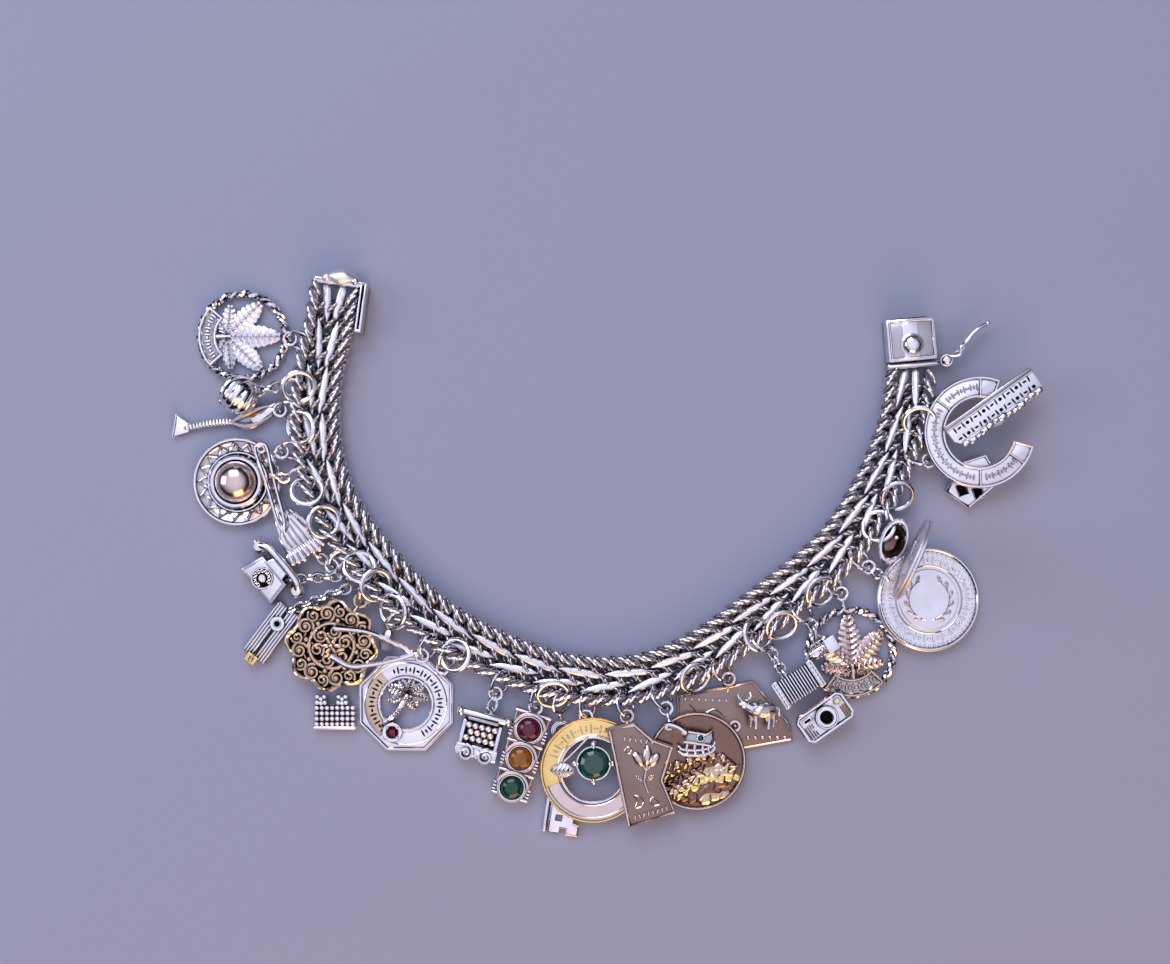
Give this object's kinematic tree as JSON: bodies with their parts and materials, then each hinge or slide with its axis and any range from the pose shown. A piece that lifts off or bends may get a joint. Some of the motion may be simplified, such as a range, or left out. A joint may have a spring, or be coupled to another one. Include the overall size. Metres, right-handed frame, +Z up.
{
  "type": "charm bracelet",
  "caption": "Silver charm bracelet lying open in a curve, with many small charms on jump rings, a box clasp and a safety catch.",
  "frame": {"origin": "middle of the outline at table level, with the bracelet lying open on the table", "axes": "+Z up from the table; +X from the clasp's tongue end to its box end; the closed side of the curve towards -Y"},
  "size_m": [0.1512, 0.0994, 0.0172],
  "materials": {
    "silver_bright": "polished sterling silver",
    "silver_dark": "oxidised sterling silver with polished high points",
    "silver_frosted": "frosted sterling silver with polished edges",
    "silver_warm": "aged sterling silver with a warm tarnish",
    "stone_red": "cut glass stone",
    "stone_amber": "cut glass stone",
    "stone_green": "cut glass stone"
  },
  "bodies": {
    "bracelet": {"rope_strand_outer": "silver_dark", "rope_strand_inner": "silver_dark", "bar_links_outer": "silver_bright", "bar_links_inner": "silver_bright", "clasp_box": "silver_bright", "clasp_tongue": "silver_bright", "leaf_disc_left": "silver_bright", "jump_ring_leaf_disc_left": "silver_bright", "ribbed_ball": "silver_dark", "twisted_stem": "silver_dark", "jump_ring_twisted_stem": "silver_bright", "sombrero": "silver_bright", "jump_ring_sombrero": "silver_bright", "long_loop": "silver_bright", "folded_hands": "silver_bright", "jump_ring_folded_hands": "silver_bright", "telephone": "silver_dark", "groove_bars": "silver_dark", "filigree_rosette": "silver_warm", "jump_ring_filigree_rosette": "silver_bright", "wishbone": "silver_bright", "jump_ring_wishbone": "silver_bright", "crystal_drop": "silver_bright", "beaded_keep": "silver_bright", "octagon_palm": "silver_frosted", "jump_ring_octagon_palm": "silver_bright", "typewriter": "silver_bright", "jump_ring_typewriter": "silver_bright", "signal_light": "silver_dark", "jump_ring_signal_light": "silver_bright", "flat_key": "silver_bright", "birthstone_ring": "silver_warm", "jump_ring_birthstone_ring": "silver_bright", "blossom_plate": "silver_warm", "jump_ring_blossom_plate": "silver_bright", "medallion": "silver_warm", "sleigh": "silver_bright", "jump_ring_sleigh": "silver_bright", "dotted_plate": "silver_warm", "jump_ring_dotted_plate": "silver_bright", "horned_animal": "silver_bright", "squeezebox": "silver_bright", "engine": "silver_bright", "camera": "silver_bright", "leaf_disc_right": "silver_warm", "jump_ring_leaf_disc_right": "silver_bright", "bell": "silver_dark", "coin_on_edge": "silver_frosted", "medal": "silver_frosted", "jump_ring_medal": "silver_bright", "horseshoe": "silver_frosted", "jump_ring_horseshoe": "silver_bright", "ridge_bar": "silver_frosted", "window_frame": "silver_bright", "lamp_red": "stone_red", "lamp_amber": "stone_amber", "lamp_green": "stone_green", "solitaire_green": "stone_green", "palm_ruby": "stone_red"},
    "safety_catch": {"safety_catch": "silver_bright"}
  },
  "joints": [
    {"name": "catch_hinge", "type": "hinge", "parent": "bracelet", "child": "safety_catch", "pos_m": [0.0597, 0.03366, 0.0024], "axis": [0, 0, 1], "range_deg": [-35, 46]}
  ]
}
